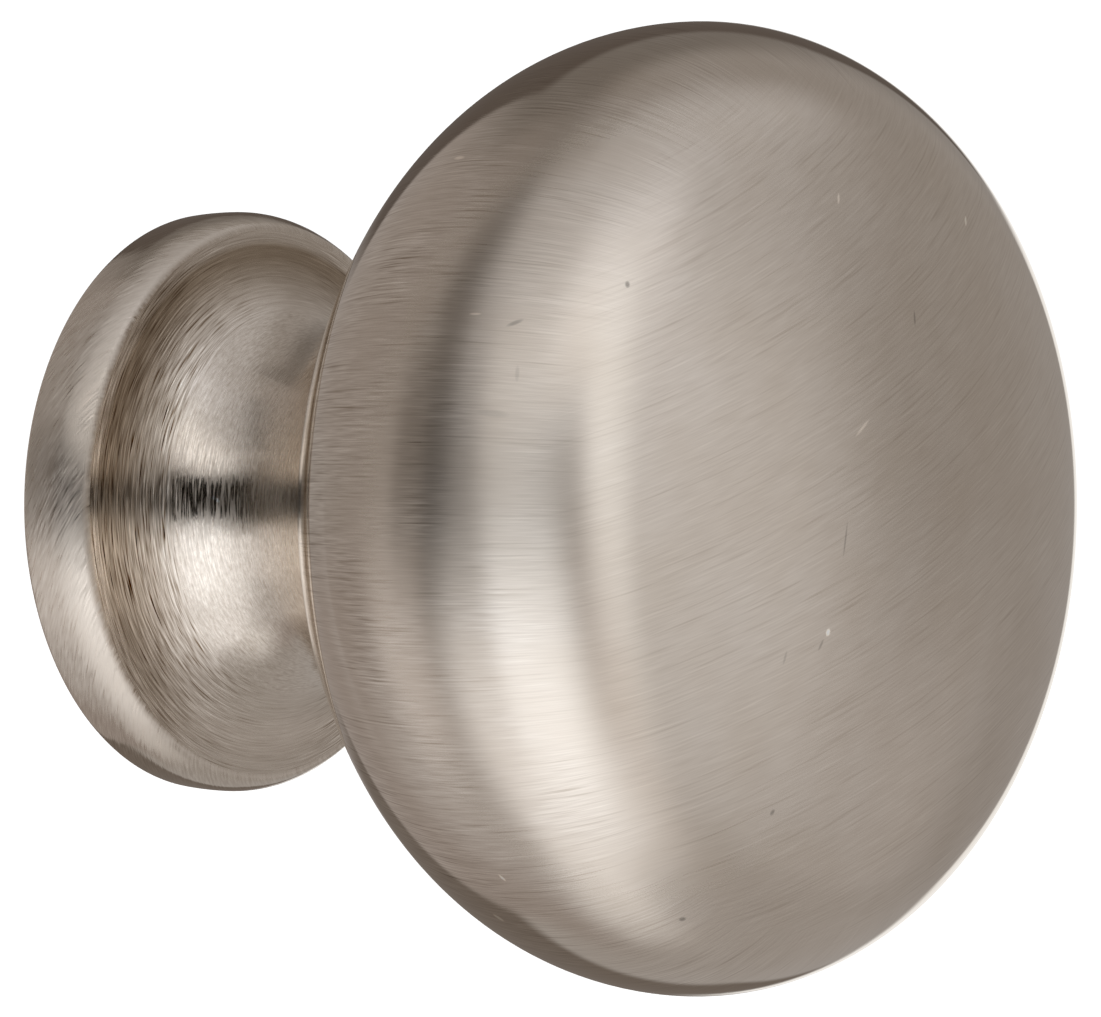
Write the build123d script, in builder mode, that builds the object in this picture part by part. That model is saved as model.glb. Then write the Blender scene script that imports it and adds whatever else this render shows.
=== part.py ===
from build123d import *
import math
import os

# Cabinet knob, one solid piece of metal turned about its own axis: a round head with a gently crowned
# face, a waisted neck and a round flange that seats on the door or drawer front.
# The centre of the seat is the origin, the knob stands out of the door towards -Y, and +Z is up.
# All sizes are in millimetres.

# Head
head_diameter = 31.75
crown_radius = 27.9  # sphere of the crowned face
shoulder_radius = 7.05  # rounding between the crowned face and the widest circle
rear_radius = 8.85  # rounding behind the widest circle

# Heights, each one measured from the one before it, starting at the seat
flange_height = 2.5  # up to the flange's front edge
cove_rise = 4.0  # on to the narrowest place of the neck
head_rise = 14.55  # on to the widest circle of the head

# Neck and flange
neck_diameter = 10.4
flange_diameter = 19.62
rim_belt_height = 1.3  # widest circle of the flange, above the seat
front_edge_inset = 0.46  # the front edge lies this far inside the flange's widest circle
seat_edge_inset = 0.09  # and the seat's edge this far
front_edge_rounding = 0.35
seat_edge_rounding = 0.2

# Blind hole in the seat, drilled to be tapped for an 8-32 screw
tap_drill_diameter = 3.45
hole_depth = 13.0
drill_point_angle = 118.0
mouth_chamfer = 0.5

# Radii and heights of the circles that the half section passes through
head_radius = head_diameter / 2
neck_radius = neck_diameter / 2
flange_radius = flange_diameter / 2
front_edge_radius = flange_radius - front_edge_inset
seat_radius = flange_radius - seat_edge_inset
neck_height = flange_height + cove_rise
belt_height = neck_height + head_rise

# The crown's sphere runs smoothly into the shoulder's rounding: their centres lie this far apart on the axis
crown_drop = math.sqrt((crown_radius - shoulder_radius) ** 2 - (head_radius - shoulder_radius) ** 2)
crown_centre = belt_height - crown_drop
shoulder_angle = math.degrees(math.atan2(crown_drop, head_radius - shoulder_radius))

# The hollow under the head leaves the neck along the axis and runs into the rear rounding
rear_centre_radius = head_radius - rear_radius
centre_offset = rear_centre_radius - neck_radius
hollow_radius = (head_rise**2 + centre_offset**2 - rear_radius**2) / (2 * (head_radius - neck_radius))
rear_angle = math.degrees(math.atan2(head_rise, neck_radius + hollow_radius - rear_centre_radius))


def turned_edges():
    """Circles about the knob's axis, in order from the crown to the seat."""
    return edges().filter_by(GeomType.CIRCLE).filter_by(Plane.XZ).sort_by(Axis.Y)


with BuildPart() as knob:
    # Half section, with X as the radius and -Y as the height above the seat
    with BuildSketch(Plane.XY):
        with BuildLine():
            crown = CenterArc((0, -crown_centre), crown_radius, -90, 90 - shoulder_angle)
            shoulder_centre = (head_radius - shoulder_radius, -belt_height)
            CenterArc(shoulder_centre, shoulder_radius, -shoulder_angle, shoulder_angle)
            CenterArc((rear_centre_radius, -belt_height), rear_radius, 0, rear_angle)
            hollow_centre = (neck_radius + hollow_radius, -neck_height)
            CenterArc(hollow_centre, hollow_radius, 180 + rear_angle, -rear_angle)
            neck_point = (neck_radius, -neck_height)
            front_edge_point = (front_edge_radius, -flange_height)
            TangentArc(neck_point, front_edge_point, tangent=(0, 1))
            rim_point = (flange_radius, -rim_belt_height)
            seat_edge_point = (seat_radius, 0)
            TangentArc(rim_point, front_edge_point, tangent=(0, -1))
            TangentArc(rim_point, seat_edge_point, tangent=(0, 1))
            Polyline(seat_edge_point, (0, 0), crown @ 0)
        make_face()
    revolve(axis=Axis.Y)

    # Broken edges of the flange: its widest circle lies between the front edge and the seat's edge
    fillet(turned_edges()[-3], front_edge_rounding)
    fillet(turned_edges()[-1], seat_edge_rounding)

    # Tapping hole with the drill's pointed end and a chamfered mouth
    drill_radius = tap_drill_diameter / 2
    point_length = drill_radius / math.tan(math.radians(drill_point_angle / 2))
    with BuildSketch(Plane.XY):
        with BuildLine():
            wall_end = (drill_radius, -hole_depth)
            drill_tip = (0, -hole_depth - point_length)
            Polyline((0, 0), (drill_radius, 0), wall_end, drill_tip, close=True)
        make_face()
    revolve(axis=Axis.Y, mode=Mode.SUBTRACT)
    mouth = turned_edges().group_by(Axis.Y)[-1].sort_by(SortBy.RADIUS)[0]
    chamfer(mouth, mouth_chamfer)

os.makedirs("parts", exist_ok=True)
knob.part.label = "knob"
export_step(knob.part, "parts/knob.step")
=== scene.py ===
import math

import bpy
import numpy as np
from mathutils import Matrix, Vector


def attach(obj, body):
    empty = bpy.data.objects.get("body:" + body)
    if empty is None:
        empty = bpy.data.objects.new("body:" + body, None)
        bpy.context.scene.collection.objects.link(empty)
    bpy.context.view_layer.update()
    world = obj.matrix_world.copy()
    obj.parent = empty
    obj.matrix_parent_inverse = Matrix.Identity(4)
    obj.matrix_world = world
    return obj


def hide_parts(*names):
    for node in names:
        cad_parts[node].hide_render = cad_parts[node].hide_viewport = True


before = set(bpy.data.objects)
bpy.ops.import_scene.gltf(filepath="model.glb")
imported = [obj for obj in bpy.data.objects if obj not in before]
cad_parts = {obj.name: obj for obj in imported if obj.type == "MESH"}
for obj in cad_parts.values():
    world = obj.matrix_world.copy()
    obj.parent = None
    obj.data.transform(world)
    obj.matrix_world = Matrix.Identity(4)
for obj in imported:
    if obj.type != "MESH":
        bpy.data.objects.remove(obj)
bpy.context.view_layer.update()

# Sizes of the turned knob in millimetres, the same as in the part's source
head_radius = 15.875
crown_radius = 27.9
shoulder_radius = 7.05
rear_radius = 8.85
flange_height = 2.5
neck_height = 6.5
belt_height = 21.05
neck_radius = 5.2
flange_radius = 9.81
rim_belt_height = 1.3
front_edge_inset = 0.46
seat_edge_inset = 0.09
front_edge_rounding = 0.35
seat_edge_rounding = 0.2
drill_radius = 1.725
hole_depth = 13.0
drill_point_angle = 118.0
mouth_chamfer = 0.5
thread_pitch = 0.794
thread_radius = 2.083
thread_run_out = (0.2, 1.0)  # distances from the hole's end between which the thread grows to its full depth

# Lathe tool's lines in the cove; slopes are in degrees, 0 at the neck and 90 at the flange
lines_from, lines_full = 44.0, 49.0  # slopes between which the lines come in
lines_fade, lines_end = 82.0, 88.0  # slopes between which they go out again
line_count = 400  # laid along the section from the crown's middle, to past the cove
line_width, line_width_spread = 0.08, 0.12
line_depth, line_depth_spread = 0.002, 0.009
worn_share = 0.3  # of the depth that is left above and below the axis

MM = 0.001
columns = 220  # points round the axis
sharp_edge = math.radians(35)  # edges with a larger angle stay sharp
chance = np.random.default_rng(8)


# Shape of the knob

def arc(centre, radius, start, end, steps, hollow=False):
    """Arc of the half section as rows (height, radius, slope).

    The slope is the way the metal faces, in degrees: 0 away from the axis, 90 to the front, -90 to the door.
    A rounding lies at centre + radius * (sin slope, cos slope), a hollow at centre - radius * the same.
    """
    slope = np.linspace(start, end, steps, endpoint=False)
    reach = -radius if hollow else radius
    a = np.radians(slope)
    return np.stack([centre[0] + reach * np.sin(a), centre[1] + reach * np.cos(a), slope], axis=1)


def straight(start, end, slope, steps):
    """Straight piece of the half section: start + t * (end - start), t evenly from 0 towards 1."""
    t = np.linspace(0, 1, steps, endpoint=False)[:, None]
    points = np.array(start) + t * (np.array(end) - np.array(start))
    return np.hstack([points, np.full_like(t, slope)])


def rounding_centre(a, reach_a, b, reach_b):
    """Centre of an edge's rounding: the outer meeting point of two circles about a and b with those reaches."""
    a, b = np.array(a), np.array(b)
    apart = np.linalg.norm(b - a)
    along = (reach_a**2 - reach_b**2 + apart**2) / (2 * apart)
    way = (b - a) / apart
    side = np.array([way[1], -way[0]]) * math.sqrt(reach_a**2 - along**2)
    return max(a + way * along + side, a + way * along - side, key=lambda p: p[1])


def facing(start, end):
    """Slope in degrees of the line from start to end, both given as (height, radius)."""
    return math.degrees(math.atan2(end[0] - start[0], end[1] - start[1]))


def half_section():
    """Half section from the crown's middle to the drill's tip, as rows (height, radius, slope), and each row's zone.

    Arcs for crown, shoulder, rear rounding, hollow and cove run into each other with a shared slope. The flange's
    rim is two arcs that share its widest circle, and its edges are rounded where the arcs' offsets meet.
    """
    front_edge_radius = flange_radius - front_edge_inset
    crown_drop = math.sqrt((crown_radius - shoulder_radius) ** 2 - (head_radius - shoulder_radius) ** 2)
    shoulder_angle = math.degrees(math.atan2(crown_drop, head_radius - shoulder_radius))
    rear_centre = (belt_height, head_radius - rear_radius)
    rise = belt_height - neck_height
    inward = rear_centre[1] - neck_radius
    hollow_radius = (rise**2 + inward**2 - rear_radius**2) / (2 * (head_radius - neck_radius))
    rear_angle = math.degrees(math.atan2(rise, hollow_radius - inward))
    cove_rise, cove_reach = neck_height - flange_height, front_edge_radius - neck_radius
    cove_radius = (cove_rise**2 + cove_reach**2) / (2 * cove_reach)
    cove_centre = (neck_height, neck_radius + cove_radius)
    front_rise = flange_height - rim_belt_height
    front_radius = (front_rise**2 + front_edge_inset**2) / (2 * front_edge_inset)
    front_centre = (rim_belt_height, flange_radius - front_radius)
    back_radius = (rim_belt_height**2 + seat_edge_inset**2) / (2 * seat_edge_inset)
    back_centre = (rim_belt_height, flange_radius - back_radius)

    ridge = rounding_centre(cove_centre, cove_radius + front_edge_rounding,
                            front_centre, front_radius - front_edge_rounding)
    ridge_start, ridge_end = facing(ridge, cove_centre), facing(front_centre, ridge)
    seat_reach = math.sqrt((back_radius - seat_edge_rounding) ** 2 - (rim_belt_height - seat_edge_rounding) ** 2)
    seat_edge = (seat_edge_rounding, back_centre[1] + seat_reach)
    seat_start = facing(back_centre, seat_edge)
    mouth_radius = drill_radius + mouth_chamfer
    point_length = drill_radius / math.tan(math.radians(drill_point_angle / 2))

    pieces = [
        ("head", arc((belt_height - crown_drop, 0), crown_radius, 90, shoulder_angle, 34)),
        ("head", arc((belt_height, head_radius - shoulder_radius), shoulder_radius, shoulder_angle, 0, 40)),
        ("head", arc(rear_centre, rear_radius, 0, -rear_angle, 40)),
        ("neck", arc((neck_height, neck_radius + hollow_radius), hollow_radius, -rear_angle, 0, 30, hollow=True)),
        ("neck", arc(cove_centre, cove_radius, 0, lines_from, 22, hollow=True)),
        ("neck", arc(cove_centre, cove_radius, lines_from, ridge_start, 124, hollow=True)),
        ("rim", arc(ridge, front_edge_rounding, ridge_start, ridge_end, 8)),
        ("rim", arc(front_centre, front_radius, ridge_end, 0, 7)),
        ("rim", arc(back_centre, back_radius, 0, seat_start, 7)),
        ("rim", arc(seat_edge, seat_edge_rounding, seat_start, -90, 5)),
        ("seat", straight((0, seat_edge[1]), (0, mouth_radius), -90, 10)),
        ("seat", straight((0, mouth_radius), (mouth_chamfer, drill_radius), -135, 2)),
        ("thread", straight((mouth_chamfer, drill_radius), (hole_depth, drill_radius), 180, 94)),
        ("thread", straight((hole_depth, drill_radius), (hole_depth + point_length, 0), -149, 4)),
        ("thread", np.array([[hole_depth + point_length, 0, -90]])),
    ]
    zones = np.concatenate([np.full(len(rows), name) for name, rows in pieces])
    return np.vstack([rows for _, rows in pieces]), zones


def turning_lines(run):
    """Depth in millimetres of the lathe tool's lines, along the section's run.

    The lines lie side by side with chance widths, each a shallow round groove of a chance depth:
    depth * (1 - (2 * place in the groove - 1)^2).
    """
    widths = line_width + line_width_spread * chance.random(line_count)
    edges = run.min() + np.concatenate([[0], np.cumsum(widths)])
    line = np.clip(np.searchsorted(edges, run, side="right") - 1, 0, line_count - 1)
    place = (run - edges[line]) / (edges[line + 1] - edges[line])
    depths = line_depth + line_depth_spread * chance.random(line_count) ** 2
    return depths[line] * (1 - (2 * place - 1) ** 2)


def smooth(x, low, high):
    """0 below low, 1 above high, and an even S between them: 3t^2 - 2t^3."""
    t = np.clip((x - low) / (high - low), 0, 1)
    return t * t * (3 - 2 * t)


def unit(v):
    """Vectors scaled to length one."""
    return v / np.maximum(np.linalg.norm(v, axis=-1, keepdims=True), 1e-9)


def by_vertex(grid):
    """The grid's values in the order of the mesh's points: the crown's middle, the rings, the drill's tip."""
    return np.concatenate([grid[0, :1], grid[1:-1].reshape(-1, *grid.shape[2:]), grid[-1, :1]])


def turned_knob():
    """The whole knob as one closed surface, which carries what its metals need to know at each point.

    Point (i, j) is the half section's row i turned about the axis by the angle turn j:
    x = r cos turn, y = -height, z = r sin turn. In the cove the lathe tool's lines go into the metal, against the
    way it faces, and are worn above and below the axis. In the hole, r also carries the screw thread:
    minor radius + depth * triangle wave of (height / pitch - turn / full turn).
    """
    section, zones = half_section()
    height, radius, slope = section.T
    run = np.concatenate([[0], np.cumsum(np.hypot(np.diff(height), np.diff(radius)))])
    slope_arc = np.radians(slope)[:, None]
    turn = np.linspace(0, 2 * np.pi, columns, endpoint=False)

    lined = (zones == "neck") * smooth(slope, lines_from, lines_full) * smooth(-slope, -lines_end, -lines_fade)
    kept = worn_share + (1 - worn_share) * smooth(np.abs(np.cos(turn)), 0.15, 0.75)
    cut = (turning_lines(run) * lined)[:, None] * kept
    wave = (height[:, None] / thread_pitch - turn / (2 * np.pi)) % 1
    in_hole = (zones == "thread") & (height < hole_depth)
    depth = (thread_radius - drill_radius) * in_hole * smooth(hole_depth - height, *thread_run_out)
    r = radius[:, None] + depth[:, None] * (1 - np.abs(2 * wave - 1)) - cut * np.cos(slope_arc)
    x, z = r * np.cos(turn), r * np.sin(turn)
    y = cut * np.sin(slope_arc) - height[:, None]
    vertices = by_vertex(np.stack([x, y, z], axis=2)) * MM

    rings = len(section) - 2
    ring, step = np.meshgrid(np.arange(rings), np.arange(columns), indexing="ij")
    here = 1 + ring * columns + step
    beside = 1 + ring * columns + (step + 1) % columns
    quads = np.stack([here[:-1], here[1:], beside[1:], beside[:-1]], axis=2).reshape(-1, 4)
    crown_fan = np.stack([np.zeros(columns, int), here[0], beside[0]], axis=1)
    tip_fan = np.stack([np.full(columns, len(vertices) - 1), beside[-1], here[-1]], axis=1)
    mesh = bpy.data.meshes.new("turned_knob")
    mesh.from_pydata(vertices.tolist(), [], crown_fan.tolist() + quads.tolist() + tip_fan.tolist())

    names = ["head", "neck", "rim", "seat", "thread"]
    number = np.array([names.index(zone) for zone in zones])
    zone_of_face = np.concatenate([np.zeros(columns, int), np.repeat(number[1:-2], columns),
                                   np.full(columns, names.index("thread"))])
    mesh.polygons.foreach_set("material_index", zone_of_face.astype(np.int32))
    mesh.polygons.foreach_set("use_smooth", np.ones(len(zone_of_face), bool))

    across, face, order = stroke_field(x, z, slope, zones, turn)
    cove = np.where(zones == "neck", np.clip(slope, 0, 90), 0)
    for name, kind, key, grid in (
        ("across", "FLOAT_VECTOR", "vector", across),
        ("face", "FLOAT", "value", face),
        ("order", "FLOAT", "value", order),
        ("run", "FLOAT", "value", np.broadcast_to(run[:, None], x.shape)),
        ("cove", "FLOAT", "value", np.broadcast_to(cove[:, None], x.shape)),
    ):
        mesh.attributes.new(name, kind, "POINT").data.foreach_set(key, by_vertex(grid).ravel())
    mesh.set_sharp_from_angle(angle=sharp_edge)
    mesh.validate()
    knob = bpy.data.objects.new("turned_knob", mesh)
    bpy.context.collection.objects.link(knob)
    return knob


# Direction of the brush strokes

face_angle = 25.8  # of the strokes on the face, from +X towards +Z
face_sweep = (0.385, 0.19)  # how the angle grows per millimetre along X and Z
face_slopes = (32, 58)  # slopes between which the side's strokes give way to the face's
rim_slant = math.radians(60)  # of the rim's strokes, from the axis
rim_grain = math.radians(80)  # of the finer grain under them


def stroke_field(x, z, slope, zones, turn):
    """Unit vectors across the strokes at each point of the turned surface, how much the face's strokes show, and
    how well the strokes are in order.

    On the head's side the strokes run along the axis, and on the face at a slowly sweeping angle in its plane;
    over the shoulder the one turns into the other: the mean of their doubled angles, halved, since a stroke has
    no front end. The length of that mean is the order: 1 where both have one direction, 0 where they cross evenly.
    On neck, seat and thread the strokes go round, and on the rim slantwise.
    """
    a = np.radians(slope)[:, None]
    zero = np.zeros_like(x)
    out = np.stack([np.cos(a) * np.cos(turn), -np.sin(a) + zero, np.cos(a) * np.sin(turn)], axis=2)
    around = np.stack([-np.sin(turn) + zero, zero, np.cos(turn) + zero], axis=2)
    downhill = unit(np.cross(around, out))
    angle = np.radians(face_angle + face_sweep[0] * x + face_sweep[1] * z)
    stroke = np.stack([np.cos(angle), zero, np.sin(angle)], axis=2)
    stroke = unit(stroke - (stroke * out).sum(axis=2, keepdims=True) * out)
    face = np.broadcast_to(smooth(slope, *face_slopes)[:, None], x.shape)
    lean = 2 * np.arctan2((stroke * around).sum(axis=2), (stroke * downhill).sum(axis=2))
    mean = 1 - face + face * np.exp(1j * lean)
    lean = np.angle(mean)[..., None] / 2
    head = downhill * np.cos(lean) + around * np.sin(lean)
    rim = downhill * math.cos(rim_grain) + around * math.sin(rim_grain)
    zone = np.broadcast_to(zones[:, None, None], x.shape + (1,))
    along = np.where(zone == "head", head, np.where(zone == "rim", rim, around))
    return unit(np.cross(along, out)), face, np.abs(mean)


# Shader tools

def node(tree, kind, inputs=None, **settings):
    """A new node with its settings; inputs maps a socket's name or place to a value or another node's output."""
    made = tree.nodes.new(kind)
    for name, value in settings.items():
        setattr(made, name, value)
    for name, value in (inputs or {}).items():
        if isinstance(value, bpy.types.NodeSocket):
            tree.links.new(value, made.inputs[name])
        else:
            made.inputs[name].default_value = value
    return made


def sums(tree, operation, *values):
    """Output of a Math node with that operation."""
    return node(tree, "ShaderNodeMath", dict(enumerate(values)), operation=operation).outputs[0]


def vectors(tree, operation, *values):
    """Output of a Vector Math node with that operation."""
    inputs = {0: values[0], "Scale": values[1]} if operation == "SCALE" else dict(enumerate(values))
    made = node(tree, "ShaderNodeVectorMath", inputs, operation=operation)
    return made.outputs["Value" if operation in ("DOT_PRODUCT", "LENGTH") else "Vector"]


def ramp(tree, value, start, end, low=0.0, high=1.0, curve="LINEAR"):
    """Output of a Map Range node: low up to start, high from end on, with that curve between them."""
    return node(tree, "ShaderNodeMapRange", {"Value": value, "From Min": start, "From Max": end,
                                             "To Min": low, "To Max": high}, interpolation_type=curve).outputs[0]


def noise(tree, place, scale, detail=1.0, roughness=0.5):
    """Output of a Noise Texture node, about 0.5 on the whole."""
    return node(tree, "ShaderNodeTexNoise", {"Vector": place, "Scale": scale, "Detail": detail,
                                             "Roughness": roughness}).outputs[0]


def mixed(tree, share, first, second):
    """First where the share is 0, second where it is 1."""
    return node(tree, "ShaderNodeMix", {0: share, 2: first, 3: second}).outputs[0]


def mixed_colours(tree, share, first, second):
    """First colour where the share is 0, second where it is 1."""
    return node(tree, "ShaderNodeMix", {0: share, 6: first, 7: second}, data_type="RGBA").outputs[2]


def carried(tree, name):
    """A number that the mesh carries at each point."""
    return node(tree, "ShaderNodeAttribute", attribute_name=name).outputs["Fac"]


def group(name, inputs, outputs):
    """A new shader node group with those sockets, as (tree, its input node's sockets, its output node)."""
    tree = bpy.data.node_groups.new(name, "ShaderNodeTree")
    for label, kind in inputs:
        tree.interface.new_socket(label, in_out="INPUT", socket_type=kind)
    for label, kind in outputs:
        tree.interface.new_socket(label, in_out="OUTPUT", socket_type=kind)
    return tree, tree.nodes.new("NodeGroupInput").outputs, tree.nodes.new("NodeGroupOutput")


def use(tree, shared, inputs):
    """The outputs of a shared node group placed in a tree with those inputs."""
    return node(tree, "ShaderNodeGroup", inputs, node_tree=shared).outputs


def brush_strokes_group():
    """Strokes of an abrasive belt, on a path measured in stroke lengths and widths.

    Fine grain is noise on the path. Hairlines are where a second, longer noise passes a limit: dark cuts above
    the upper one and bright burrs below the lower one.
    """
    tree, get, end = group("brush_strokes", [("Path", "NodeSocketVector"), ("Hairlines", "NodeSocketFloat")],
                           [("Height", "NodeSocketFloat"), ("Tone", "NodeSocketFloat")])
    grain = noise(tree, get["Path"], 1.0, roughness=0.6)
    long_path = vectors(tree, "MULTIPLY_ADD", get["Path"], (0.4, 0.9, 0.9), (7.3, 2.1, 5.7))
    hair = noise(tree, long_path, 1.0, detail=0.0)
    cuts = ramp(tree, hair, 0.64, 0.8, high=-0.6)
    burrs = ramp(tree, hair, 0.34, 0.22, high=0.35)
    hairs = sums(tree, "MULTIPLY", sums(tree, "ADD", cuts, burrs), get["Hairlines"])
    tone = sums(tree, "ADD", sums(tree, "SUBTRACT", grain, 0.5), hairs)
    tree.links.new(tone, end.inputs["Tone"])
    tree.links.new(sums(tree, "MULTIPLY_ADD", tone, 0.6, 0.5), end.inputs["Height"])
    return tree


def nick_group():
    """Mask of one small nick's spot, also used for painted glints: 1 in its middle and 0 outside its half length and
    half width.

    With d the way from its middle, the squared distance is d.d * across + (d.way)^2 * along, where
    across = 1 / half width^2 and along = 1 / half length^2 - across.
    """
    tree, get, end = group("nick", [("Place", "NodeSocketVector"), ("Middle", "NodeSocketVector"),
                                    ("Way", "NodeSocketVector"), ("Across", "NodeSocketFloat"),
                                    ("Along", "NodeSocketFloat")], [("Mask", "NodeSocketFloat")])
    away = vectors(tree, "SUBTRACT", get["Place"], get["Middle"])
    whole = vectors(tree, "DOT_PRODUCT", away, away)
    part = vectors(tree, "DOT_PRODUCT", away, get["Way"])
    squared = sums(tree, "MULTIPLY_ADD", sums(tree, "MULTIPLY", part, part), get["Along"],
                   sums(tree, "MULTIPLY", whole, get["Across"]))
    tree.links.new(ramp(tree, squared, 1.4, 0.2), end.inputs["Mask"])
    return tree


# Brushed nickel

nickel = (0.67, 0.60, 0.525)
browner = (0.9, 1.0, 1.1)  # how much a dark stroke takes from red, green and blue


def metal(name, roughness, anisotropy):
    """A new metal material with a Principled shader whose strokes lie across the mesh's own direction field."""
    material = bpy.data.materials.new(name)
    material.use_nodes = True
    tree = material.node_tree
    tree.nodes.clear()
    across = node(tree, "ShaderNodeAttribute", attribute_name="across").outputs["Vector"]
    shader = node(tree, "ShaderNodeBsdfPrincipled", {
        "Base Color": (*nickel, 1.0), "Metallic": 1.0, "Roughness": roughness, "Anisotropic": anisotropy,
        "Tangent": across})
    node(tree, "ShaderNodeOutputMaterial", {"Surface": shader.outputs[0]})
    return material, tree, shader


def finish_strokes(tree, shader, height, tone, colour_swing, roughness, roughness_swing, depth, colour=nickel):
    """Gives a metal its strokes: tone shifts the colour and the roughness, height goes into the bump.

    The depth is in millimetres. Seen along the surface a brushed metal turns into a mirror: with f from 0 where it
    faces the eye to 1 at its outline, the roughness goes down with (1 - f)^0.65, and further from f = 0.38 on.
    """
    swing = vectors(tree, "MULTIPLY_ADD", tone, tuple(colour_swing * v for v in browner), (1, 1, 1))
    tree.links.new(vectors(tree, "MULTIPLY", colour, swing), shader.inputs["Base Color"])
    facing_away = node(tree, "ShaderNodeLayerWeight", {"Blend": 0.5}).outputs["Facing"]
    gloss = sums(tree, "POWER", sums(tree, "SUBTRACT", 1.0, facing_away), 0.65)
    mirror = ramp(tree, facing_away, 0.75, 0.38, low=0.25, curve="SMOOTHSTEP")
    rough = sums(tree, "MULTIPLY", sums(tree, "MULTIPLY_ADD", tone, roughness_swing, roughness), gloss)
    tree.links.new(sums(tree, "MULTIPLY", rough, mirror), shader.inputs["Roughness"])
    bump = node(tree, "ShaderNodeBump", {"Height": height, "Strength": 1.0, "Distance": depth * MM})
    tree.links.new(bump.outputs[0], shader.inputs["Normal"])


def millimetres(tree):
    """The point on the knob in millimetres, as (vector, x, y, z)."""
    place = vectors(tree, "SCALE", node(tree, "ShaderNodeTexCoord").outputs["Object"], 1 / MM)
    return (place, *node(tree, "ShaderNodeSeparateXYZ", {0: place}).outputs)


def girdle(tree, x, z, radius):
    """The point's place round the axis as (x, z) on a circle of that radius, so the pattern has no seam."""
    flat = node(tree, "ShaderNodeCombineXYZ", {0: x, 1: z}).outputs[0]
    circle = vectors(tree, "SCALE", vectors(tree, "NORMALIZE", flat), radius)
    return node(tree, "ShaderNodeSeparateXYZ", {0: circle}).outputs[:2]


def stroke_path(tree, *ways):
    """Place counted in strokes: each way is a distance and how many strokes there are in a millimetre of it."""
    counts = [sums(tree, "MULTIPLY", distance, strokes_per_mm) for distance, strokes_per_mm in ways]
    return node(tree, "ShaderNodeCombineXYZ", dict(enumerate(counts))).outputs[0]


def lathe_path(tree, x, z, length, width):
    """Path of strokes that go round the axis, with their length and width in millimetres."""
    round_x, round_z = girdle(tree, x, z, 6.0)
    return stroke_path(tree, (round_x, 1 / length), (carried(tree, "run"), 1 / width), (round_z, 1 / length))


# Small nicks on the head and the neck: middle, way they run, half length, half width, and how much lighter they are;
# a lighter spot is a painted glint of a nick catching the light, a darker one a darker mark
head_nicks_and_glints = [
    ((-2.49, -28.09, 9.99), (0.43, 0.29, 0.85), 0.2, 0.05, 0.5),
    ((4.65, -27.99, 9.45), (0.5, 0.36, 0.78), 0.2, 0.06, 0.7),
    ((-3.32, -29.73, 2.68), (0.78, -0.04, 0.62), 0.4, 0.05, 0.4),
    ((-4.18, -29.73, -0.87), (0.12, -0.02, 0.99), 0.6, 0.04, -0.3),
    ((-4.62, -29.4, -3.8), (0.3, 0.0, 0.95), 0.12, 0.09, 0.9),
    ((-4.86, -29.31, -4.2), (0.43, 0.0, 0.9), 0.35, 0.05, -0.3),
    ((-6.27, -28.95, -4.55), (0.2, 0.0, 0.98), 0.5, 0.05, -0.2),
    ((-0.03, -29.36, 6.23), (0.2, 0.1, 0.97), 0.3, 0.05, -0.35),
    ((-11.35, -26.43, 7.09), (0.3, 0.2, 0.93), 0.11, 0.08, -0.5),
    ((-14.02, -24.1, 5.86), (0.45, -0.8, 0.4), 0.3, 0.07, -0.35),
    ((-14.38, -24.46, 4.26), (0.2, 0.1, 0.97), 0.25, 0.07, -0.15),
    ((-14.94, -23.96, 3.01), (0.42, -0.9, -0.1), 0.5, 0.12, -0.14),
    ((-11.13, -19.48, 11.13), (-0.2, -0.97, 0.0), 0.25, 0.08, 0.5),
    ((-14.41, -22.79, 6.12), (0.29, -0.95, 0.0), 0.2, 0.04, 0.5),
    ((-10.75, -21.2, -11.65), (0.5, -0.3, -0.75), 0.2, 0.06, 0.9),
    ((-8.75, -19.5, -13.07), (0.4, -0.4, -0.8), 0.25, 0.12, 0.9),
    ((-11.2, -19.9, -11.03), (-0.2, -0.97, 0.0), 0.4, 0.05, 0.6),
    ((-6.53, -25.19, -12.98), (0.8, -0.5, 0.0), 0.12, 0.1, -0.45),
    ((-5.35, -27.83, -9.53), (0.5, 0.0, 0.86), 0.12, 0.08, -0.4),
]
# The neck's one spot is a painted glint, five times as light as the metal
neck_glint = [((-5.55, -4.86, 0.13), (0.3, -0.75, -0.6), 0.16, 0.06, 4.0)]


def with_nicks_and_glints(tree, place, nick, nicks):
    """The metal's colour with nicks and painted glints: its own colour scaled by 1 + the sum of each nick's mask
    times its lightness, which paints a glint where it is above 0.
    """
    shade = 1.0
    for middle, way, half_length, half_width, mark_and_glint in nicks:
        spot = use(tree, nick, {"Place": place, "Middle": middle, "Way": tuple(Vector(way).normalized()),
                                "Across": half_width**-2, "Along": half_length**-2 - half_width**-2})
        # A positive amount paints a glint, a negative one a darker mark
        shade = sums(tree, "MULTIPLY_ADD", spot["Mask"], mark_and_glint, shade)
    return vectors(tree, "SCALE", nickel, shade)


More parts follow.
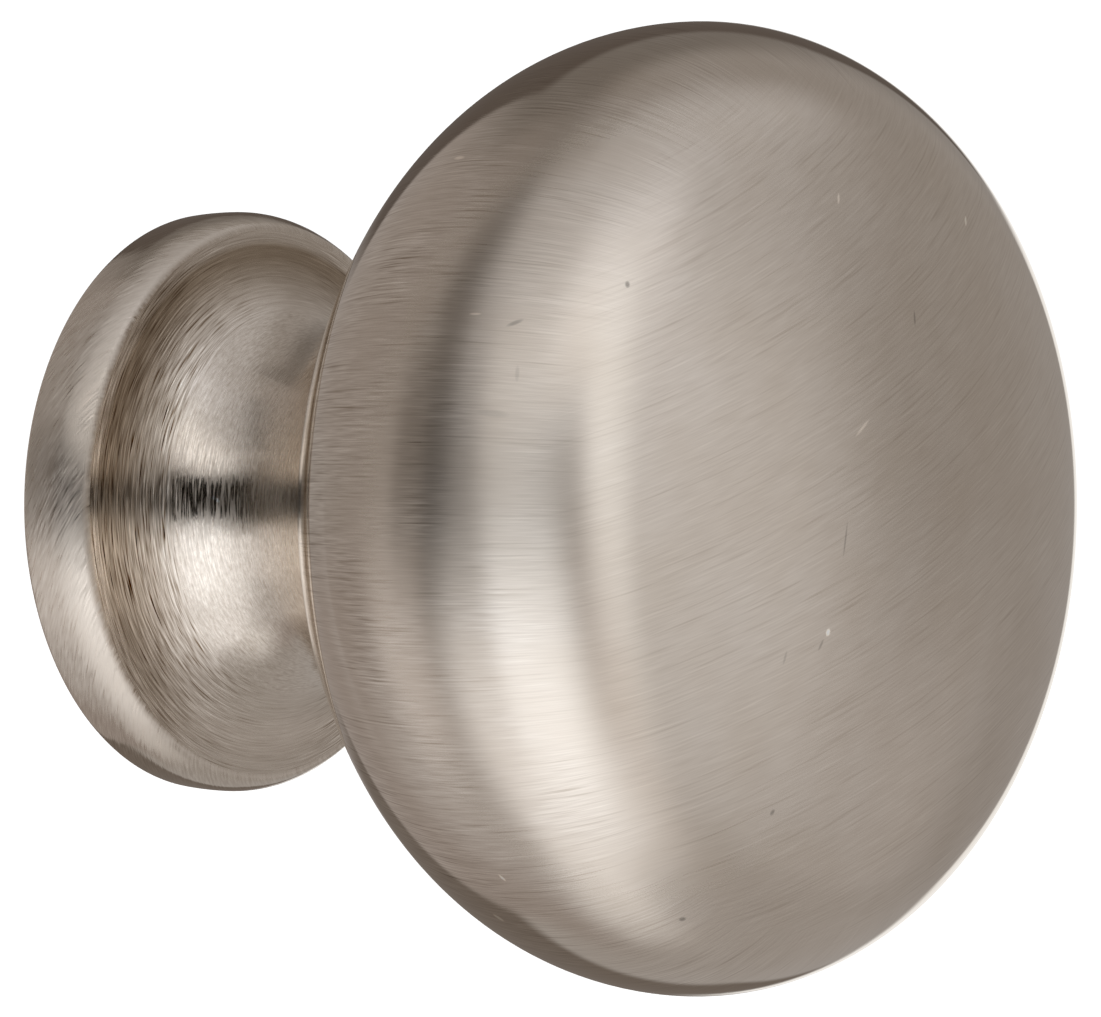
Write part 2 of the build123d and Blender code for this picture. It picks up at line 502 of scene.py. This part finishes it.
def levelled(tree, x, z, radius):
    """The place round the axis as (x, z), shifted so that strokes on the head's rear stay more level than meridians.

    With u the place on a circle of radius 1, z becomes u_z * (1 - narrowing * u_x^2), and x follows on the circle;
    the narrowing is 1 - (distance from the axis / 16 mm)^0.65.
    """
    round_x, round_z = girdle(tree, x, z, radius)
    reach = vectors(tree, "LENGTH", node(tree, "ShaderNodeCombineXYZ", {0: x, 1: z}).outputs[0])
    narrowing = sums(tree, "SUBTRACT", 1.0, sums(tree, "POWER", sums(tree, "MULTIPLY", reach, 1 / 16), 0.65))
    sideways = sums(tree, "MULTIPLY", sums(tree, "MULTIPLY", round_x, round_x), radius**-2)
    drawn_in = sums(tree, "SUBTRACT", 1.0, sums(tree, "MULTIPLY", narrowing, sideways))
    level_z = sums(tree, "MULTIPLY", round_z, drawn_in)
    rest = sums(tree, "SQRT", sums(tree, "SUBTRACT", radius**2, sums(tree, "MULTIPLY", level_z, level_z)))
    return sums(tree, "MULTIPLY", sums(tree, "SIGN", x), rest), level_z


def fanned(tree, x, z):
    """The place on the face as (along, over): along the strokes at its middle, and the stroke's own number.

    Strokes whose angle grows by the face's sweep are lines of one value of
    over * exp(-turn_over * along) - turn_along / 2 * along^2, with the sweep taken along and over them.
    """
    a = math.radians(face_angle)
    along = sums(tree, "ADD", sums(tree, "MULTIPLY", x, math.cos(a)), sums(tree, "MULTIPLY", z, math.sin(a)))
    over = sums(tree, "ADD", sums(tree, "MULTIPLY", x, -math.sin(a)), sums(tree, "MULTIPLY", z, math.cos(a)))
    turn_along = math.radians(face_sweep[0] * math.cos(a) + face_sweep[1] * math.sin(a))
    turn_over = math.radians(face_sweep[1] * math.cos(a) - face_sweep[0] * math.sin(a))
    fan = sums(tree, "EXPONENT", sums(tree, "MULTIPLY", along, -turn_over))
    bow = sums(tree, "MULTIPLY", sums(tree, "MULTIPLY", along, along), -turn_along / 2)
    return along, sums(tree, "MULTIPLY_ADD", over, fan, bow)


def brushed_head(strokes, nick):
    """Head: strokes along the axis on its side, which give way to the face's slanted strokes, and some nicks, several
    with a painted glint.

    The side's strokes are bolder to the rear, and here and there, and the colour is a little warmer in places.
    """
    roughness, anisotropy, hairlines = 0.353, 0.855, 0.7
    material, tree, shader = metal("brushed_head", roughness, anisotropy)
    place, x, y, z = millimetres(tree)
    level_x, level_z = levelled(tree, x, z, 15.0)
    side_path = stroke_path(tree, (y, 0.9), (level_x, 21.0), (level_z, 21.0))
    side = use(tree, strokes, {"Path": side_path, "Hairlines": hairlines})
    along, over = fanned(tree, x, z)
    front = use(tree, strokes, {"Path": stroke_path(tree, (along, 0.8), (over, 16.0)), "Hairlines": hairlines})

    tree.links.new(sums(tree, "MULTIPLY", carried(tree, "order"), anisotropy), shader.inputs["Anisotropic"])
    share = carried(tree, "face")
    height = mixed(tree, share, side["Height"], front["Height"])
    cloud = noise(tree, place, 0.4)
    bold = sums(tree, "MULTIPLY", ramp(tree, y, -24.0, -19.0, 1.3, 2.6), ramp(tree, cloud, 0.35, 0.65, 0.5, 1.4))
    tone = mixed(tree, share, sums(tree, "MULTIPLY", side["Tone"], bold), front["Tone"])
    tint = vectors(tree, "MULTIPLY_ADD", cloud, (0.1, 0.13, 0.17), (0.95, 0.935, 0.915))
    colour = vectors(tree, "MULTIPLY", with_nicks_and_glints(tree, place, nick, head_nicks_and_glints), tint)
    finish_strokes(tree, shader, height, tone, 0.28, roughness, 0.04, 0.0012, colour)
    return material


def turned_neck(strokes, nick):
    """Neck: satin grain over fine lines of uneven gloss, and in the cove bolder lathe lines on metal darkened by
    painted shade, most on the cove's upper side and less at the ridge.

    Across the lines the light is spread by one amount, along them by an amount that differs from line to line.
    The shader's roughness is the fourth root of the two spreads' product, its anisotropy (1 - their ratio) / 0.9.
    """
    spread_across, least_along = 0.25, 0.01
    # Colour of the painted shade in the cove
    cove_shade_colour = (0.52, 0.46, 0.39, 1)
    material, tree, shader = metal("turned_neck", 0.36, 0.88)
    place, x, _, z = millimetres(tree)
    slope = carried(tree, "cove")
    lined = ramp(tree, slope, lines_from, lines_full)
    satin = use(tree, strokes, {"Path": lathe_path(tree, x, z, 0.25, 0.07), "Hairlines": 0.3})
    line_path = lathe_path(tree, x, z, 0.8, 0.042)
    lines = use(tree, strokes, {"Path": line_path, "Hairlines": 0.6})
    height = mixed(tree, lined, satin["Height"], lines["Height"])
    sideways = sums(tree, "ABSOLUTE", girdle(tree, x, z, 6.0)[0])
    bold_lines = sums(tree, "MULTIPLY", lines["Tone"], ramp(tree, sideways, 0.9, 4.5, 1.2, 5.5))
    tone = mixed(tree, lined, sums(tree, "MULTIPLY", satin["Tone"], 1.5), bold_lines)

    # Painted shade in the cove: darkest deep in the hollow and on its upper side, fading near the ridge
    deep = ramp(tree, slope, 47.0, 77.0)
    upper = ramp(tree, z, -6.5, 3.0, low=0.25)
    lip = ramp(tree, slope, 86.0, 82.0, low=0.2)
    dark = sums(tree, "MULTIPLY", sums(tree, "MULTIPLY", deep, upper), lip)
    cove_shade_tint = mixed_colours(tree, dark, (1, 1, 1, 1), cove_shade_colour)
    colour = vectors(tree, "MULTIPLY", with_nicks_and_glints(tree, place, nick, neck_glint), cove_shade_tint)

    streak = noise(tree, line_path, 0.9, roughness=0.6)
    along = sums(tree, "MAXIMUM", sums(tree, "MULTIPLY_ADD", streak, 0.5, -0.21), least_along)
    along = sums(tree, "MULTIPLY_ADD", lined, 0.04, along)
    rough = sums(tree, "POWER", sums(tree, "MULTIPLY", along, spread_across), 0.25)
    uneven = sums(tree, "MULTIPLY_ADD", along, -1 / (0.9 * spread_across), 1 / 0.9)
    tree.links.new(sums(tree, "MINIMUM", uneven, 0.98), shader.inputs["Anisotropic"])
    finish_strokes(tree, shader, height, tone, 0.42, rough, 0.0, 0.006, colour)
    return material


def brushed_rim(strokes):
    """Rim: slantwise strokes, which are strokes along the axis on a surface twisted evenly with the height."""
    material, tree, shader = metal("brushed_rim", 0.5, 0.76)
    place, _, y, _ = millimetres(tree)
    twist = sums(tree, "MULTIPLY", y, math.tan(rim_slant) / flange_radius)
    twisted = node(tree, "ShaderNodeVectorRotate", {"Vector": place, "Angle": twist},
                   rotation_type="Y_AXIS").outputs[0]
    x, y, z = node(tree, "ShaderNodeSeparateXYZ", {0: twisted}).outputs
    round_x, round_z = girdle(tree, x, z, flange_radius)
    path = stroke_path(tree, (y, 3.0), (round_x, 9.0), (round_z, 9.0))
    marks = use(tree, strokes, {"Path": path, "Hairlines": 0.2})
    finish_strokes(tree, shader, marks["Height"], marks["Tone"], 0.6, 0.49, 0.7, 0.008)
    return material


def turned(name, strokes, anisotropy, depth, width):
    """Metal with strokes round the axis, as a lathe and an abrasive cloth leave it."""
    roughness = 0.3
    material, tree, shader = metal(name, roughness, anisotropy)
    _, x, _, z = millimetres(tree)
    marks = use(tree, strokes, {"Path": lathe_path(tree, x, z, 3.0, width), "Hairlines": 1.0})
    finish_strokes(tree, shader, marks["Height"], marks["Tone"], 0.3, roughness, 0.1, depth)
    return material


# Studio round the knob

camera_azimuth, camera_elevation, camera_roll = -52.09, 0.441, 0.567  # degrees
camera_place = (-0.24340, -0.20418, 0.00231)
camera_lens, camera_sensor = 305.7, 36.0


def studio_camera():
    """Camera at the photograph's viewing angle, a long way off behind a long lens."""
    a, e, roll = (math.radians(v) for v in (camera_azimuth, camera_elevation, camera_roll))
    back = Vector((math.sin(a) * math.cos(e), -math.cos(a) * math.cos(e), math.sin(e)))
    level = Vector((math.cos(a), math.sin(a), 0))
    right = level * math.cos(roll) + back.cross(level) * math.sin(roll)
    turned_frame = Matrix((right, back.cross(right), back)).transposed().to_4x4()
    data = bpy.data.cameras.new("studio_camera")
    data.sensor_fit = "HORIZONTAL"
    data.sensor_width = camera_sensor
    data.lens = camera_lens
    data.clip_start = 0.01
    camera = bpy.data.objects.new("studio_camera", data)
    camera.matrix_world = Matrix.Translation(camera_place) @ turned_frame
    bpy.context.collection.objects.link(camera)
    bpy.context.scene.camera = camera


# Soft panels and dark cards round the knob, each painted over the ones before it.
# Azimuth is counted from the camera, positive to its right, elevation from the horizon, both in degrees.
# A tilted panel rises by that many degrees for each degree to the right:
# (name, left, right, low, high, softness of the upright edges, softness of the level edges, tilt, light)
tent = (0.366, 0.341, 0.322)
panels = [
    ("tent floor", -400, 400, -100, -71, 20, 25, 0.00, (0.95, 0.94, 0.94)),
    ("left rear high", -178, -84, 4, 70, 20, 16, 0.0, (0.371, 0.336, 0.315)),
    ("left rear low", -178, -84, -70, -4, 20, 16, 0.0, (0.37, 0.33, 0.308)),
    ("rear roof", 161, 280, 46, 85, 26, 24, 0.60, (0.214, 0.193, 0.176)),
    ("left flag", -79, -50, 31, 68, 8, 8, -0.03, (0.12, 0.108, 0.098)),
    ("upper front", -56, 128, 13, 99, 26, 26, 0.28, (0.596, 0.585, 0.59)),
    ("upper right", 6, 64, 18, 58, 25, 9, -0.07, (1.01, 1.025, 1.075)),
    ("upper middle", -37, 29, 19, 38, 19, 10, 0.24, (1.42, 1.42, 1.43)),
    ("lower front", -127, 126, -77, -18, 26, 26, 0.06, (0.534, 0.509, 0.5)),
    ("key", -62, 61, -85, -21, 26, 9, -0.06, (1.21, 1.22, 1.25)),
    ("key core", -28, 15, -51, -11, 16, 23, -0.15, (1.8, 1.88, 1.98)),
    ("right side", 37, 88, -40, 23, 26, 8, 0.29, (0.703, 0.691, 0.69)),
    ("strip", 23, 45, -16, 41, 3, 4, 0.01, (1.23, 1.26, 1.29)),
    ("left card", -82, -50, -20, 26, 4, 7, 0.08, (0.15, 0.132, 0.117)),
    ("slot", -64, -34, -13, 18, 8, 6, 0.08, (0.008, 0.006, 0.004)),
    ("lens", -42, 24, -9, 14, 6, 4, -0.01, (0.0, 0.0, 0.0)),
    ("stand", 20, 48, -37, -16, 6, 4, -0.19, (0.8, 0.74, 0.705)),
    ("left fill", -101, -70, -44, -12, 14, 6, -0.05, (0.771, 0.736, 0.728)),
    ("low right", 79, 205, -67, -25, 5, 18, 0.18, (0.423, 0.399, 0.381)),
    ("high rear card", 164, 203, 2, 35, 3, 6, 0.51, (0.122, 0.101, 0.087)),
    ("low rear card", 170, 206, -38, -6, 3, 6, -0.34, (0.183, 0.155, 0.134)),
    ("backdrop", 159, 178, -16, 8, 4, 5, 0.0, (1.0, 0.98, 0.95)),
]


def soft_panel_group():
    """Mask of one panel: 1 up to the inner distance from its middle, falling smoothly to 0 at the outer distance."""
    sockets = ["Azimuth", "Elevation", "Middle", "Inner width", "Outer width",
               "Centre", "Inner height", "Outer height", "Tilt"]
    tree, get, end = group("soft_panel", [(name, "NodeSocketFloat") for name in sockets],
                           [("Mask", "NodeSocketFloat")])
    offset = sums(tree, "SUBTRACT", get["Azimuth"], get["Middle"])
    sideways = sums(tree, "PINGPONG", offset, 180.0)
    height = sums(tree, "MULTIPLY_ADD", offset, get["Tilt"], get["Centre"])
    upwards = sums(tree, "ABSOLUTE", sums(tree, "SUBTRACT", get["Elevation"], height))
    masks = [ramp(tree, away, get["Outer " + size], get["Inner " + size], curve="SMOOTHSTEP")
             for away, size in ((sideways, "width"), (upwards, "height"))]
    tree.links.new(sums(tree, "MULTIPLY", *masks), end.inputs["Mask"])
    return tree


def studio_light():
    """Pale tent round the knob with soft panels and dark cards; the camera itself sees plain white.

    The light is soft all round, so the world needs no map of its bright spots.
    """
    world = bpy.data.worlds.new("studio")
    world.use_nodes = True
    world.cycles.sampling_method = "NONE"
    bpy.context.scene.world = world
    tree = world.node_tree
    tree.nodes.clear()
    direction = node(tree, "ShaderNodeTexCoord").outputs["Generated"]
    x, y, z = node(tree, "ShaderNodeSeparateXYZ", {0: direction}).outputs
    azimuth = sums(tree, "DEGREES", sums(tree, "ARCTAN2", x, sums(tree, "MULTIPLY", y, -1.0)))
    azimuth = sums(tree, "SUBTRACT", azimuth, camera_azimuth)
    elevation = sums(tree, "DEGREES", sums(tree, "ARCSINE", z))
    soft_panel = soft_panel_group()
    light = (*tent, 1)
    for name, left, right, low, high, soft_sides, soft_ends, tilt, glow in panels:
        panel = node(tree, "ShaderNodeGroup", {
            "Azimuth": azimuth, "Elevation": elevation, "Middle": (left + right) / 2, "Centre": (low + high) / 2,
            "Inner width": (right - left - soft_sides) / 2, "Outer width": (right - left + soft_sides) / 2,
            "Inner height": (high - low - soft_ends) / 2, "Outer height": (high - low + soft_ends) / 2,
            "Tilt": tilt}, node_tree=soft_panel, label=name)
        light = mixed_colours(tree, panel.outputs["Mask"], light, (*glow, 1))
    studio = node(tree, "ShaderNodeBackground", {"Color": light, "Strength": 1.0})
    white = node(tree, "ShaderNodeBackground", {"Color": (1, 1, 1, 1), "Strength": 1.1})
    seen = node(tree, "ShaderNodeLightPath").outputs["Is Camera Ray"]
    mix = node(tree, "ShaderNodeMixShader", {0: seen, 1: studio.outputs[0], 2: white.outputs[0]})
    node(tree, "ShaderNodeOutputWorld", {"Surface": mix.outputs[0]})


def pale_floor():
    """Flat pale floor well under the knob, seen from above only and not in the metal."""
    side, level = 3.0, -0.06
    mesh = bpy.data.meshes.new("floor")
    mesh.from_pydata([(-side, -side, level), (side, -side, level), (side, side, level), (-side, side, level)], [],
                     [(0, 1, 2, 3)])
    floor = bpy.data.objects.new("floor", mesh)
    bpy.context.collection.objects.link(floor)
    material = bpy.data.materials.new("floor_paper")
    material.use_nodes = True
    tree = material.node_tree
    tree.nodes.clear()
    paper = node(tree, "ShaderNodeBsdfDiffuse", {"Color": (0.85, 0.85, 0.85, 1)})
    glow = node(tree, "ShaderNodeEmission", {"Color": (1, 1, 1, 1), "Strength": 0.72})
    lit = node(tree, "ShaderNodeAddShader", {0: paper.outputs[0], 1: glow.outputs[0]})
    clear = node(tree, "ShaderNodeBsdfTransparent")
    under = node(tree, "ShaderNodeNewGeometry").outputs["Backfacing"]
    mix = node(tree, "ShaderNodeMixShader", {0: under, 1: lit.outputs[0], 2: clear.outputs[0]})
    node(tree, "ShaderNodeOutputMaterial", {"Surface": mix.outputs[0]})
    mesh.materials.append(material)
    floor.visible_glossy = False


strokes = brush_strokes_group()
nick = nick_group()
knob = turned_knob()
for material in (
    brushed_head(strokes, nick),
    turned_neck(strokes, nick),
    brushed_rim(strokes),
    turned("faced_seat", strokes, anisotropy=0.8, depth=0.006, width=0.15),
    turned("cut_thread", strokes, anisotropy=0.6, depth=0.004, width=0.1),
):
    knob.data.materials.append(material)
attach(knob, "root")
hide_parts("knob")

studio_camera()
studio_light()
pale_floor()
bpy.context.scene.view_settings.view_transform = "Standard"
